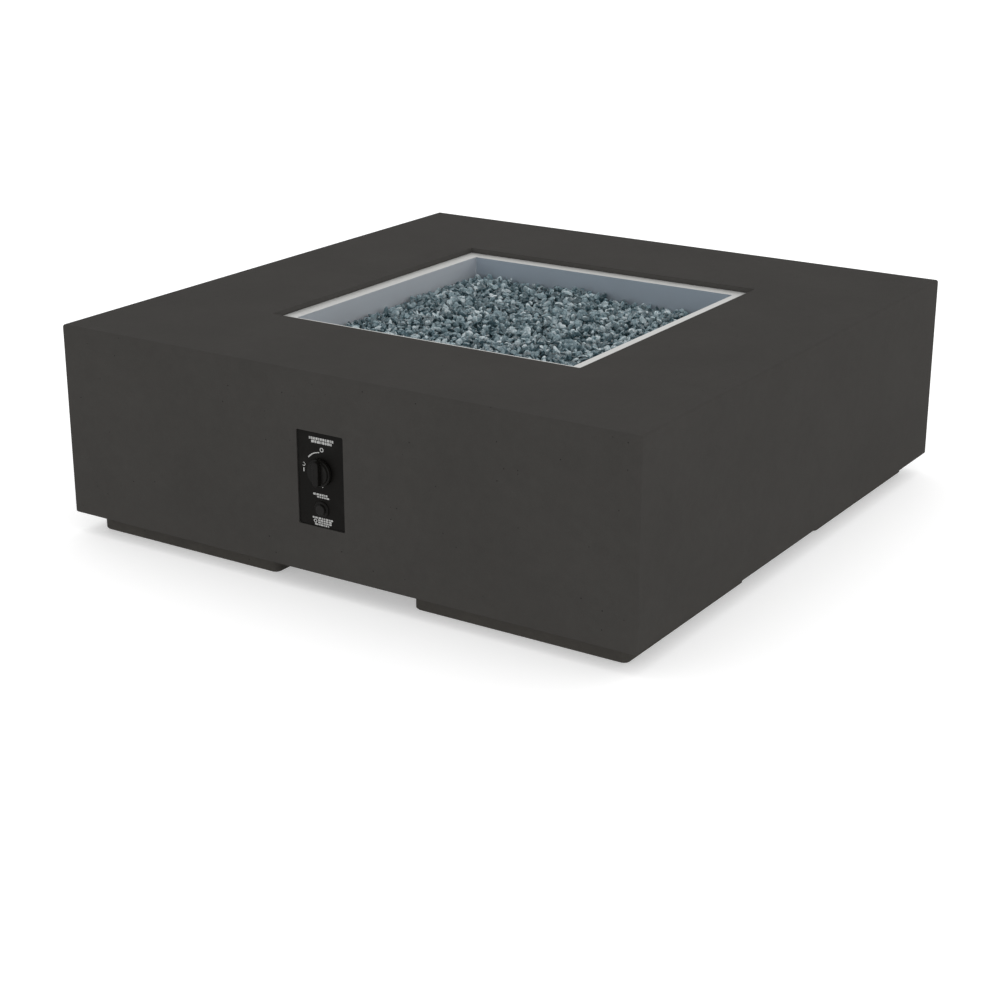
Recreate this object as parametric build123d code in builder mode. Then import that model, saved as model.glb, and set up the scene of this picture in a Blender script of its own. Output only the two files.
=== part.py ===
from build123d import *
import math
import os

# A low square gas fire table: a hollow cast-concrete shell on four L-shaped cast feet, with a drop-in
# stainless burner pan full of fire glass, and a control panel let into the front face.
# Millimetres. +Z is up, the front face looks along -Y, and the origin is on the floor, in the middle.

# ---- driving dimensions -------------------------------------------------------------------------
side = 1219.0            # plan size of the shell, both ways
pad_proud = 2.0          # how far the rubber pads stand out under the feet
foot_height = 38.0
body_height = 366.0
wall = 22.0
top_thickness = 32.0
edge_radius = 5.0        # eased edges of the casting
base_z = pad_proud + foot_height
top_z = base_z + body_height
face_y = -side / 2       # the front face
inner_face_y = face_y + wall

foot_inset = 36.0
foot_length = 424.0
foot_width = 110.0
foot_corner_radius = 14.0
foot_outer = side / 2 - foot_inset
ledge_width = foot_inset + foot_width + 4.0
ledge_length = foot_inset + foot_length + 6.0
ledge_thickness = 34.0
pad_margin = 25.0        # from the foot's outer edge to the pad's
pad_width = 60.0
pad_thickness = 5.0
pad_gap = 0.5            # between a pad and its seat
pad_corner_radius = 5.0
pad_outer = foot_outer - pad_margin
pad_length = foot_length - 2 * pad_margin
bolt_radius = 4.0
bolt_head_radius = 6.5
bolt_head_height = 8.0
bolt_counterbore = 12.0
insert_radius = 7.0
insert_length = 22.0
fit_gap = 0.05           # radial clearance of screws, shafts and plugs in their holes

opening_side = 672.0     # recess that the pan's flange lies in
flange_drop = 10.0       # flange's top below the concrete's top
gasket_thickness = 2.0
flange_gap = 2.0
flange_width = 29.0
sheet = 2.0              # pan's sheet thickness
pan_depth = 95.0         # flange's top to the floor's inside
flange_top = top_z - flange_drop
flange_bottom = flange_top - sheet
recess_floor = flange_bottom - gasket_thickness
flange_side = opening_side - 2 * flange_gap
pan_side = flange_side - 2 * flange_width
pan_inner = pan_side - 2 * sheet
through_side = pan_side + 14.0
pan_floor_top = flange_top - pan_depth
pan_floor_bottom = pan_floor_top - sheet
glass_top = top_z - 47.0

tube_radius = 9.5        # burner tube
tube_wall = 1.5
ring_half = 200.0        # burner ring's centre line from the middle
burner_z = pan_floor_top + 20.0
port_radius = 1.2
nipple_radius = 10.65
nipple_bore = 7.9
hub_radius = 16.0
nut_thickness = 6.0
train_z = 238.0          # axis of the elbow and the air mixer

panel_x = -16.0          # control panel's middle
panel_z = base_z + 174.5
panel_width = 99.0
panel_height = 171.0
panel_thickness = 3.0
panel_recess = 2.0       # panel's front below the concrete's face
panel_front = face_y + panel_recess
panel_back = panel_front + panel_thickness
panel_lip = 6.0          # width of the ledge that the panel lies on
stud_x = 37.0
stud_z = 71.0
stud_radius = 2.0
stud_end = inner_face_y + 9.0
knob_z = base_z + 190.0
button_z = base_z + 122.0

knob_radius = 25.0
knob_travel = 3.0
knob_back = panel_front - knob_travel - 0.5
knob_skirt = 4.5
knob_height = 14.0
stem_radius = 4.0
rotor_radius = 6.8
chamber_radius = 7.05
valve_front = inner_face_y + 2.0
valve_depth = 46.0
valve_back = valve_front + valve_depth
chamber_front = valve_front + 20.0
rotor_length = 4.0
plunger_length = 7.0
magnet_front = valve_back - 3.0
valve_width = 44.0
valve_height = 36.0

igniter_bezel_radius = 15.0
igniter_barrel_radius = 11.5
igniter_bore = 8.2
button_radius = 9.5
button_travel = 3.0
button_proud = button_travel + 0.5
bezel_thickness = 3.0
battery_radius = 7.1
battery_length = 50.0
igniter_back = panel_back + 68.0

pilot_x = 80.0
pilot_y = -(ring_half + 34.0)
electrode_x = pilot_x - 10.0
probe_x = pilot_x + 10.0
lead_radius = 1.5
hose_radius = 8.0

corners = {
    "front_left": (-1, -1),
    "front_right": (1, -1),
    "back_left": (-1, 1),
    "back_right": (1, 1),
}


# ---- shared helpers -----------------------------------------------------------------------------
def l_arms(corner, outer, length, width):
    """The two rectangles of an L whose outer corner lies at `outer` both ways: centre and size."""
    sx, sy = corner
    rest = length - width
    across = ((sx * (outer - length / 2), sy * (outer - width / 2)), (length, width))
    along = ((sx * (outer - width / 2), sy * (outer - width - rest / 2)), (width, rest))
    return across, along


def bolt_points(corner):
    """Three bolts to a foot: one at its corner and one near the end of each arm."""
    sx, sy = corner
    middle = foot_outer - foot_width / 2
    end = foot_outer - foot_length + 60.0
    return [(sx * middle, sy * middle), (sx * end, sy * middle), (sx * middle, sy * end)]


def route_radii(points, limit=200.0):
    """Largest tangent arcs for a route's corners, from the shorter run beside each."""
    radii = []
    for a, b, c in zip(points, points[1:], points[2:]):
        before = Vector(*b) - Vector(*a)
        after = Vector(*c) - Vector(*b)
        half_turn = math.radians(before.get_angle(after)) / 2
        shorter = min(before.length, after.length)
        radii.append(round(min(limit, 0.45 * shorter / math.tan(half_turn)), 2))
    return radii


def finish(piece, name):
    """Label a finished piece and write its STEP file."""
    piece.part.label = name
    export_step(piece.part, f"parts/{name}.step")


os.makedirs("parts", exist_ok=True)
all_bolts = [point for corner in corners.values() for point in bolt_points(corner)]

# ---- concrete shell -----------------------------------------------------------------------------
with BuildPart() as concrete_shell:
    with BuildSketch(Plane.XY.offset(base_z)):
        Rectangle(side, side)
    extrude(amount=body_height)
    fillet(concrete_shell.edges().filter_by(Axis.Z), edge_radius)
    fillet(concrete_shell.faces().sort_by(Axis.Z)[-1].edges(), edge_radius)
    chamfer(concrete_shell.faces().sort_by(Axis.Z)[0].edges(), 2.0)
    with BuildSketch(Plane.XY.offset(base_z)):
        Rectangle(side - 2 * wall, side - 2 * wall)
    extrude(amount=body_height - top_thickness, mode=Mode.SUBTRACT)
    with BuildSketch(Plane.XY.offset(top_z)):
        RectangleRounded(through_side, through_side, 6.0)
    extrude(amount=-top_thickness, mode=Mode.SUBTRACT)
    with BuildSketch(Plane.XY.offset(top_z)):
        RectangleRounded(opening_side, opening_side, 3.0)
    extrude(amount=recess_floor - top_z, mode=Mode.SUBTRACT)
    # corner ledges that the feet bolt to
    with BuildSketch(Plane.XY.offset(base_z)):
        for corner in corners.values():
            for centre, size in l_arms(corner, side / 2 - wall / 2, ledge_length, ledge_width):
                with Locations(centre):
                    Rectangle(*size)
    extrude(amount=ledge_thickness)
    with BuildSketch(Plane.XY.offset(base_z)):
        with Locations(*all_bolts):
            Circle(insert_radius + fit_gap)
    extrude(amount=insert_length + 3.0, mode=Mode.SUBTRACT)
    # seat and cut-out for the control panel
    with BuildSketch(Plane.XZ.offset(-face_y)):
        with Locations((panel_x, panel_z)):
            RectangleRounded(panel_width + 1.0, panel_height + 1.0, 3.0)
    extrude(amount=face_y - panel_back, mode=Mode.SUBTRACT)
    with BuildSketch(Plane.XZ.offset(-panel_back)):
        with Locations((panel_x, panel_z)):
            Rectangle(panel_width - 2 * panel_lip, panel_height - 2 * panel_lip)
    extrude(amount=-wall, mode=Mode.SUBTRACT)
finish(concrete_shell, "concrete_shell")

# ---- feet and their pads ------------------------------------------------------------------------
for corner_name, corner in corners.items():
    with BuildPart() as foot:
        with BuildSketch(Plane.XY.offset(pad_proud)) as foot_outline:
            for centre, size in l_arms(corner, foot_outer, foot_length, foot_width):
                with Locations(centre):
                    Rectangle(*size)
            fillet(foot_outline.vertices(), foot_corner_radius)
        extrude(amount=foot_height)
        chamfer(foot.faces().sort_by(Axis.Z)[0].edges(), 3.0)
        with BuildSketch(Plane.XY.offset(pad_proud)) as pad_seat:
            for centre, size in l_arms(corner, pad_outer, pad_length, pad_width):
                with Locations(centre):
                    Rectangle(*size)
            fillet(pad_seat.vertices(), pad_corner_radius)
        extrude(amount=pad_thickness - pad_proud, mode=Mode.SUBTRACT)
        with BuildSketch(Plane.XY.offset(pad_proud)):
            with Locations(*bolt_points(corner)):
                Circle(bolt_head_radius + 3.0)
        extrude(amount=bolt_counterbore, mode=Mode.SUBTRACT)
        with BuildSketch(Plane.XY.offset(pad_proud)):
            with Locations(*bolt_points(corner)):
                Circle(bolt_radius + 0.5)
        extrude(amount=foot_height, mode=Mode.SUBTRACT)
    finish(foot, f"foot_{corner_name}")

    with BuildPart() as foot_pad:
        with BuildSketch() as pad_outline:
            for centre, size in l_arms(corner, pad_outer - pad_gap, pad_length - 2 * pad_gap,
                                       pad_width - 2 * pad_gap):
                with Locations(centre):
                    Rectangle(*size)
            fillet(pad_outline.vertices(), pad_corner_radius)
            with Locations(*bolt_points(corner)):
                Circle(bolt_head_radius + 4.0, mode=Mode.SUBTRACT)
        extrude(amount=pad_thickness)
    finish(foot_pad, f"foot_pad_{corner_name}")

# ---- foot bolts and the inserts they screw into -------------------------------------------------
bolt_head_top = pad_proud + bolt_counterbore
with BuildPart() as foot_bolts:
    with BuildSketch(Plane.XY.offset(bolt_head_top - bolt_head_height)):
        with Locations(*all_bolts):
            Circle(bolt_head_radius)
    extrude(amount=bolt_head_height)
    with BuildSketch(Plane.XY.offset(bolt_head_top - bolt_head_height)):
        with Locations(*all_bolts):
            RegularPolygon(3.4, 6)
    extrude(amount=4.0, mode=Mode.SUBTRACT)
    with BuildSketch(Plane.XY.offset(bolt_head_top)):
        with Locations(*all_bolts):
            Circle(bolt_radius)
    extrude(amount=base_z + 18.0 - bolt_head_top)
finish(foot_bolts, "foot_bolts")

with BuildPart() as foot_inserts:
    with BuildSketch(Plane.XY.offset(base_z)):
        with Locations(*all_bolts):
            Circle(insert_radius)
            Circle(bolt_radius + fit_gap, mode=Mode.SUBTRACT)
    extrude(amount=insert_length)
finish(foot_inserts, "foot_inserts")

# ---- pan and its gasket -------------------------------------------------------------------------
with BuildPart() as pan_gasket:
    with BuildSketch(Plane.XY.offset(recess_floor)):
        RectangleRounded(flange_side - 6.0, flange_side - 6.0, 3.0)
        RectangleRounded(through_side + 4.0, through_side + 4.0, 4.0, mode=Mode.SUBTRACT)
    extrude(amount=gasket_thickness)
finish(pan_gasket, "pan_gasket")

pan_screw_x = 22.0
pan_screws = [(pilot_x - pan_screw_x, pilot_y), (pilot_x + pan_screw_x, pilot_y)]
vent = pan_inner / 2 - 40.0
with BuildPart() as burner_pan:
    with BuildSketch(Plane.XY.offset(flange_top)):
        RectangleRounded(flange_side, flange_side, 2.5)
    extrude(amount=-sheet)
    with BuildSketch(Plane.XY.offset(flange_bottom)):
        RectangleRounded(pan_side, pan_side, 4.0)
    extrude(amount=pan_floor_bottom - flange_bottom)
    with BuildSketch(Plane.XY.offset(flange_top)):
        RectangleRounded(pan_inner, pan_inner, 2.0)
    extrude(amount=-pan_depth, mode=Mode.SUBTRACT)
    # supply hole, drain holes, and the holes of the pilot
    with BuildSketch(Plane.XY.offset(pan_floor_top)):
        Circle(nipple_radius + 0.5)
        with GridLocations(2 * vent, 2 * vent, 2, 2):
            Circle(5.0)
        with GridLocations(2 * vent, vent, 2, 1):
            Circle(5.0)
        with Locations((electrode_x, pilot_y), (probe_x, pilot_y)):
            Circle(5.0)
        with Locations(*pan_screws):
            Circle(2.3)
    extrude(amount=-sheet, mode=Mode.SUBTRACT)
finish(burner_pan, "burner_pan")

# ---- burner: a square ring with a feed bar and a hub over the nipple ----------------------------
ring_length = 2 * (ring_half + tube_radius)
port_pitch = 32.0
ports_each_side = 12


def add_burner_tubes(radius, length, mode):
    """The ring's four tubes and the feed bar, at the given radius."""
    with BuildSketch(Plane.XZ.offset(length / 2)) as along_y:
        with Locations((-ring_half, burner_z), (0.0, burner_z), (ring_half, burner_z)):
            Circle(radius)
    extrude(along_y.sketch, amount=-length, mode=mode)
    with BuildSketch(Plane.YZ.offset(-length / 2)) as along_x:
        with Locations((-ring_half, burner_z), (ring_half, burner_z)):
            Circle(radius)
    extrude(along_x.sketch, amount=length, mode=mode)


with BuildPart() as burner_ring:
    add_burner_tubes(tube_radius, ring_length, Mode.ADD)
    with BuildSketch(Plane.XY.offset(burner_z - 11.0)):
        Circle(hub_radius)
    extrude(amount=22.0)
    add_burner_tubes(tube_radius - tube_wall, ring_length - 2 * tube_wall, Mode.SUBTRACT)
    with BuildSketch(Plane.XY.offset(burner_z - 11.0)):
        Circle(nipple_radius + fit_gap)
    extrude(amount=12.0, mode=Mode.SUBTRACT)
    # gas ports along the top of every tube
    with BuildSketch(Plane.XY.offset(burner_z)):
        with GridLocations(port_pitch, 2 * ring_half, ports_each_side, 2):
            Circle(port_radius)
        with GridLocations(ring_half, port_pitch, 3, ports_each_side):
            Circle(port_radius)
    extrude(amount=tube_radius + 1.0, mode=Mode.SUBTRACT)
finish(burner_ring, "burner_ring")

stand_places = [(-ring_half, 0.0), (ring_half, 0.0), (0.0, ring_half), (0.0, -ring_half)]
with BuildPart() as burner_stands:
    with BuildSketch(Plane.XY.offset(pan_floor_top)):
        with Locations(*stand_places):
            Rectangle(26.0, 26.0)
    extrude(amount=burner_z - 3.0 - pan_floor_top)
    for x in (-ring_half, 0.0, ring_half):
        with BuildSketch(Plane.XZ.offset(ring_length / 2 + 10.0)):
            with Locations((x, burner_z)):
                Circle(tube_radius + fit_gap)
        extrude(amount=-ring_length - 20.0, mode=Mode.SUBTRACT)
    for y in (-ring_half, ring_half):
        with BuildSketch(Plane.YZ.offset(-ring_half)):
            with Locations((y, burner_z)):
                Circle(tube_radius + fit_gap)
        extrude(amount=2 * ring_half, mode=Mode.SUBTRACT)
finish(burner_stands, "burner_stands")

# ---- nipple, lock nuts and elbow ----------------------------------------------------------------
nipple_bottom = train_z + 12.0
with BuildPart() as burner_nipple:
    with BuildSketch(Plane.XY.offset(nipple_bottom)):
        Circle(nipple_radius)
        Circle(nipple_bore, mode=Mode.SUBTRACT)
    extrude(amount=burner_z - nipple_bottom)
finish(burner_nipple, "burner_nipple")

for nut_name, nut_z in (
    ("nipple_top_nut", pan_floor_top),
    ("nipple_bottom_nut", pan_floor_bottom - nut_thickness),
):
    with BuildPart() as lock_nut:
        with BuildSketch(Plane.XY.offset(nut_z)):
            RegularPolygon(18.0, 6)
            Circle(nipple_radius + fit_gap, mode=Mode.SUBTRACT)
        extrude(amount=nut_thickness)
    finish(lock_nut, nut_name)

elbow_radius = 14.5
elbow_reach = 30.0
with BuildPart() as inlet_elbow:
    with BuildSketch(Plane.XY.offset(train_z)):
        Circle(elbow_radius)
    extrude(amount=elbow_reach)
    with BuildSketch(Plane.XZ):
        with Locations((0.0, train_z)):
            Circle(elbow_radius)
    extrude(amount=elbow_reach)
    with Locations((0.0, 0.0, train_z)):
        Sphere(elbow_radius)
    # thick rims round the two sockets
    with BuildSketch(Plane.XY.offset(train_z + elbow_reach - 8.0)):
        Circle(elbow_radius + 2.5)
    extrude(amount=8.0)
    with BuildSketch(Plane.XZ.offset(elbow_reach - 8.0)):
        with Locations((0.0, train_z)):
            Circle(elbow_radius + 2.5)
    extrude(amount=8.0)
    with BuildSketch(Plane.XY.offset(train_z)):
        Circle(nipple_bore)
    extrude(amount=elbow_reach, mode=Mode.SUBTRACT)
    with BuildSketch(Plane.XZ):
        with Locations((0.0, train_z)):
            Circle(nipple_bore)
    extrude(amount=elbow_reach, mode=Mode.SUBTRACT)
    with BuildSketch(Plane.XY.offset(nipple_bottom)):
        Circle(nipple_radius + fit_gap)
    extrude(amount=elbow_reach, mode=Mode.SUBTRACT)
    with BuildSketch(Plane.XZ.offset(12.0)):
        with Locations((0.0, train_z)):
            Circle(nipple_radius + fit_gap)
    extrude(amount=elbow_reach, mode=Mode.SUBTRACT)
finish(inlet_elbow, "inlet_elbow")

# ---- air mixer, jet and air shutter -------------------------------------------------------------
mixer_radius = 13.5
mixer_tail = -12.0
mixer_body_back = -(elbow_reach + 1.0)
window_back = -80.0
window_front = -98.0
mixer_body_front = -118.0
mixer_end = -136.0
thread_radius = 7.94
jet_back = -102.0
jet_radius = 4.0
shutter_inner = mixer_radius + fit_gap
shutter_outer = 16.5
shutter_back = -72.0
shutter_front = -106.0
train_axis = Axis((0.0, 0.0, train_z), (0.0, 1.0, 0.0))


def cut_windows(reach, width):
    """Four windows, a quarter turn apart, through a tube on the mixer's axis."""
    middle = (0.0, (window_back + window_front) / 2, train_z)
    for outward in ((1.0, 0.0, 1.0), (-1.0, 0.0, 1.0)):
        with BuildSketch(Plane(middle, x_dir=(0.0, 1.0, 0.0), z_dir=outward)) as window:
            Rectangle(window_back - window_front, width)
        extrude(window.sketch, amount=reach, both=True, mode=Mode.SUBTRACT)


with BuildPart() as air_mixer:
    with BuildSketch(Plane.YZ):
        with BuildLine():
            Polyline(
                (mixer_tail, train_z + nipple_bore),
                (mixer_tail, train_z + nipple_radius),
                (mixer_body_back, train_z + nipple_radius),
                (mixer_body_back, train_z + mixer_radius),
                (mixer_body_front, train_z + mixer_radius),
                (mixer_body_front, train_z + thread_radius),
                (mixer_end, train_z + thread_radius),
                (mixer_end, train_z + jet_radius + fit_gap),
                (jet_back, train_z + jet_radius + fit_gap),
                (jet_back, train_z + nipple_bore),
                close=True,
            )
        make_face()
    revolve(axis=train_axis)
    cut_windows(mixer_radius + 2.0, 9.0)
finish(air_mixer, "air_mixer")

with BuildPart() as gas_jet:
    with BuildSketch(Plane.XZ.offset(-jet_back)):
        with Locations((0.0, train_z)):
            Circle(jet_radius)
            Circle(0.9, mode=Mode.SUBTRACT)
    extrude(amount=12.0)
finish(gas_jet, "gas_jet")

with BuildPart() as air_shutter:
    with BuildSketch(Plane.XZ.offset(-shutter_back)):
        with Locations((0.0, train_z)):
            Circle(shutter_outer)
            Circle(shutter_inner, mode=Mode.SUBTRACT)
    extrude(amount=shutter_back - shutter_front)
    cut_windows(shutter_outer + 2.0, 9.0)
    with BuildSketch(Plane.XY.offset(train_z - shutter_outer - 2.0)):
        with Locations((0.0, shutter_back - 4.0)):
            Circle(2.05)
    extrude(amount=8.0, mode=Mode.SUBTRACT)
finish(air_shutter, "air_shutter")

with BuildPart() as shutter_screw:
    with BuildSketch(Plane.XY.offset(train_z - shutter_outer - 8.0)):
        with Locations((0.0, shutter_back - 4.0)):
            Circle(2.0)
    extrude(amount=shutter_outer + 8.0 - shutter_inner - 0.4)
    with BuildSketch(Plane.XY.offset(train_z - shutter_outer - 8.0)):
        with Locations((0.0, shutter_back - 4.0)):
            Circle(4.0)
    extrude(amount=6.0)
finish(shutter_screw, "shutter_screw")

# ---- gas valve ----------------------------------------------------------------------------------
gas_way_y = (chamber_front + magnet_front) / 2
socket_radius = 5.5


def valve_disc(start, length, radius, mode=Mode.ADD):
    """A round length on the valve's axis, from y = start towards the back."""
    with BuildSketch(Plane.XZ.offset(-start)) as disc:
        with Locations((panel_x, knob_z)):
            Circle(radius)
    extrude(disc.sketch, amount=-length, mode=mode)


with BuildPart() as valve_body:
    with BuildSketch(Plane.XZ.offset(-valve_front)):
        with Locations((panel_x, knob_z)):
            Rectangle(valve_width, valve_height)
    extrude(amount=-valve_depth)
    fillet(valve_body.edges().filter_by(Axis.Y), 5.0)
    valve_disc(chamber_front, magnet_front - chamber_front, chamber_radius, Mode.SUBTRACT)
    valve_disc(magnet_front, valve_back - magnet_front, 8.0 + fit_gap, Mode.SUBTRACT)
    valve_disc(valve_front, chamber_front - valve_front, stem_radius + fit_gap, Mode.SUBTRACT)
    with BuildSketch(Plane.YZ.offset(panel_x - valve_width / 2)):
        with Locations((gas_way_y, knob_z)):
            Circle(4.0)
    extrude(amount=valve_width, mode=Mode.SUBTRACT)
    for start, reach in ((panel_x - valve_width / 2, 10.0), (panel_x + valve_width / 2, -10.0)):
        with BuildSketch(Plane.YZ.offset(start)):
            with Locations((gas_way_y, knob_z)):
                Circle(socket_radius + fit_gap)
        extrude(amount=reach, mode=Mode.SUBTRACT)
    # tapped holes for the bracket's screws
    with BuildSketch(Plane.XZ.offset(-valve_front)):
        with Locations((panel_x - 15.0, knob_z), (panel_x + 15.0, knob_z)):
            Circle(1.55)
    extrude(amount=-10.0, mode=Mode.SUBTRACT)
finish(valve_body, "valve_body")

with BuildPart() as magnet_unit:
    valve_disc(magnet_front, valve_back - magnet_front, 8.0)
    with BuildSketch(Plane.XZ.offset(-valve_back)):
        with Locations((panel_x, knob_z)):
            RegularPolygon(11.0, 6)
    extrude(amount=-10.0)
    valve_disc(valve_back + 10.0, 12.0, 8.0)
    with BuildSketch(Plane.XZ.offset(-valve_back - 22.0)):
        with Locations((panel_x, knob_z)):
            RegularPolygon(6.0, 6)
    extrude(amount=-9.0)
finish(magnet_unit, "magnet_unit")

rotor_front = chamber_front + 0.3
plunger_front = rotor_front + rotor_length + 0.1
spring_start = plunger_front + plunger_length
with BuildPart() as valve_plunger:
    valve_disc(plunger_front, plunger_length, chamber_radius - fit_gap)
    valve_disc(spring_start, 2.0, 2.5)
finish(valve_plunger, "valve_plunger")


def coil_spring(name, x, z, start, end, radius, wire_radius, turns):
    """A compression spring along +Y with plain ends, from y = start to y = end."""
    height = end - start - 2 * wire_radius
    base = Plane((x, start + wire_radius, z), x_dir=(1.0, 0.0, 0.0), z_dir=(0.0, 1.0, 0.0))
    coil = base * Helix(pitch=height / turns, height=height, radius=radius)
    with BuildPart() as spring:
        with BuildSketch(Plane(coil @ 0, z_dir=coil % 0)):
            Circle(wire_radius)
        sweep(path=coil, is_frenet=True)
    finish(spring, name)


coil_spring("valve_spring", panel_x, knob_z, spring_start, magnet_front, 4.4, 0.5, 4)

with BuildPart() as valve_stem:
    stem_front = knob_back - knob_height + 4.0
    valve_disc(stem_front, rotor_front - stem_front, stem_radius)
    valve_disc(rotor_front, rotor_length, rotor_radius)
    # flat that the knob's screw bears on
    with BuildSketch(Plane.XZ.offset(-stem_front)):
        with Locations((panel_x, knob_z + stem_radius)):
            Rectangle(2 * stem_radius, 2.0)
    extrude(amount=-9.0, mode=Mode.SUBTRACT)
finish(valve_stem, "valve_stem")

bracket_face = valve_front - 2.0
with BuildPart() as valve_bracket:
    with BuildSketch(Plane.XZ.offset(-bracket_face)):
        with Locations((panel_x, knob_z)):
            Rectangle(62.0, 30.0)
            Circle(stem_radius + 1.5, mode=Mode.SUBTRACT)
        with Locations((panel_x - 15.0, knob_z), (panel_x + 15.0, knob_z)):
            Circle(1.7, mode=Mode.SUBTRACT)
    extrude(amount=-2.0)
    with BuildSketch(Plane.XZ.offset(-panel_back)):
        with Locations((panel_x - 30.0, knob_z), (panel_x + 30.0, knob_z)):
            Rectangle(2.0, 30.0)
    extrude(amount=panel_back - bracket_face)
finish(valve_bracket, "valve_bracket")

with BuildPart() as valve_screws:
    with BuildSketch(Plane.XZ.offset(-bracket_face)):
        with Locations((panel_x - 15.0, knob_z), (panel_x + 15.0, knob_z)):
            Circle(3.0)
    extrude(amount=2.2)
    with BuildSketch(Plane.XZ.offset(-bracket_face)):
        with Locations((panel_x - 15.0, knob_z), (panel_x + 15.0, knob_z)):
            Circle(1.5)
    extrude(amount=-9.0)
finish(valve_screws, "valve_screws")

# ---- gas fittings: the flared inlet elbow that the supply screws to, and the outlet --------------
inlet_face = panel_x + valve_width / 2
outlet_face = panel_x - valve_width / 2
socket_depth = 10.0      # how far a fitting screws into the valve
fitting_hex = 11.0       # radius of its hexagon, to the corners
flare_length = 16.0      # male thread that a flare nut screws on to
flare_chamfer = 1.5
fitting_bore = 3.5
elbow_block = 22.0
inlet_hex_length = 6.0
outlet_hex_length = 8.0
inlet_x = inlet_face + inlet_hex_length + elbow_block / 2

with BuildPart() as gas_inlet_fitting:
    # hexagon and plug, across into the valve's side
    with BuildSketch(Plane.YZ.offset(inlet_face - socket_depth)):
        with Locations((gas_way_y, knob_z)):
            Circle(socket_radius)
    extrude(amount=socket_depth)
    with BuildSketch(Plane.YZ.offset(inlet_face)):
        with Locations((gas_way_y, knob_z)):
            RegularPolygon(fitting_hex, 6)
    extrude(amount=inlet_hex_length)
    # the elbow's block, with the flare thread straight down out of it
    with BuildSketch(Plane.XY.offset(knob_z - elbow_block / 2)):
        with Locations((inlet_x, gas_way_y)):
            RectangleRounded(elbow_block, elbow_block, 4.0)
    extrude(amount=elbow_block)
    with BuildSketch(Plane.XY.offset(knob_z - elbow_block / 2)):
        with Locations((inlet_x, gas_way_y)):
            Circle(thread_radius)
    extrude(amount=-flare_length)
    chamfer(gas_inlet_fitting.faces().sort_by(Axis.Z)[0].edges(), flare_chamfer)
    with BuildSketch(Plane.YZ.offset(inlet_face - socket_depth)):
        with Locations((gas_way_y, knob_z)):
            Circle(fitting_bore)
    extrude(amount=inlet_x - inlet_face + socket_depth, mode=Mode.SUBTRACT)
    with BuildSketch(Plane.XY.offset(knob_z)):
        with Locations((inlet_x, gas_way_y)):
            Circle(fitting_bore)
    extrude(amount=-elbow_block / 2 - flare_length, mode=Mode.SUBTRACT)
finish(gas_inlet_fitting, "gas_inlet_fitting")

with BuildPart() as gas_outlet_fitting:
    with BuildSketch(Plane.YZ.offset(outlet_face + socket_depth)):
        with Locations((gas_way_y, knob_z)):
            Circle(socket_radius)
    extrude(amount=-socket_depth)
    with BuildSketch(Plane.YZ.offset(outlet_face)):
        with Locations((gas_way_y, knob_z)):
            RegularPolygon(fitting_hex, 6)
    extrude(amount=-outlet_hex_length)
    with BuildSketch(Plane.YZ.offset(outlet_face - outlet_hex_length)):
        with Locations((gas_way_y, knob_z)):
            Circle(thread_radius)
    extrude(amount=-flare_length)
    chamfer(gas_outlet_fitting.faces().sort_by(Axis.X)[0].edges(), flare_chamfer)
    with BuildSketch(Plane.YZ.offset(outlet_face + socket_depth)):
        with Locations((gas_way_y, knob_z)):
            Circle(fitting_bore)
    extrude(amount=-socket_depth - outlet_hex_length - flare_length, mode=Mode.SUBTRACT)
finish(gas_outlet_fitting, "gas_outlet_fitting")

# ---- flexible connector from the valve to the mixer ---------------------------------------------
hose_nut_radius = 13.0
hose_start_x = outlet_face - outlet_hex_length - flare_length - 1.0
hose_end_y = mixer_end - 1.0
hose_points = [
    (hose_start_x, gas_way_y, knob_z),
    (hose_start_x - 42.0, gas_way_y, knob_z),
    (hose_start_x - 74.0, gas_way_y + 40.0, knob_z - 3.0),
    (hose_start_x - 74.0, gas_way_y + 98.0, knob_z - 8.0),
    (hose_start_x - 52.0, gas_way_y + 160.0, knob_z - 10.0),
    (-74.0, gas_way_y + 216.0, knob_z - 6.0),
    (-30.0, gas_way_y + 262.0, train_z - 6.0),
    (0.0, gas_way_y + 318.0, train_z),
    (0.0, hose_end_y, train_z),
]
hose_radii = route_radii(hose_points)
print("hose radii", hose_radii)
with BuildLine() as hose_line:
    FilletPolyline(*hose_points, radius=hose_radii)
hose_path = hose_line.wires()[0]
with BuildPart() as flex_connector:
    with BuildSketch(Plane(hose_path @ 0, z_dir=hose_path % 0)):
        Circle(hose_radius)
    sweep(path=hose_path)
finish(flex_connector, "flex_connector")
hose_ratio = flex_connector.part.volume / (math.pi * hose_radius ** 2 * hose_path.length)
print("flex_connector length", round(hose_path.length, 1), "volume ratio", round(hose_ratio, 4))

with BuildPart() as connector_nuts:
    with BuildSketch(Plane.YZ.offset(hose_start_x - 14.0)):
        with Locations((gas_way_y, knob_z)):
            RegularPolygon(hose_nut_radius, 6)
            Circle(hose_radius + fit_gap, mode=Mode.SUBTRACT)
    extrude(amount=30.0)
    with BuildSketch(Plane.XZ.offset(-hose_end_y + 14.0)):
        with Locations((0.0, train_z)):
            RegularPolygon(hose_nut_radius, 6)
            Circle(hose_radius + fit_gap, mode=Mode.SUBTRACT)
    extrude(amount=-30.0)
finish(connector_nuts, "connector_nuts")

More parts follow.
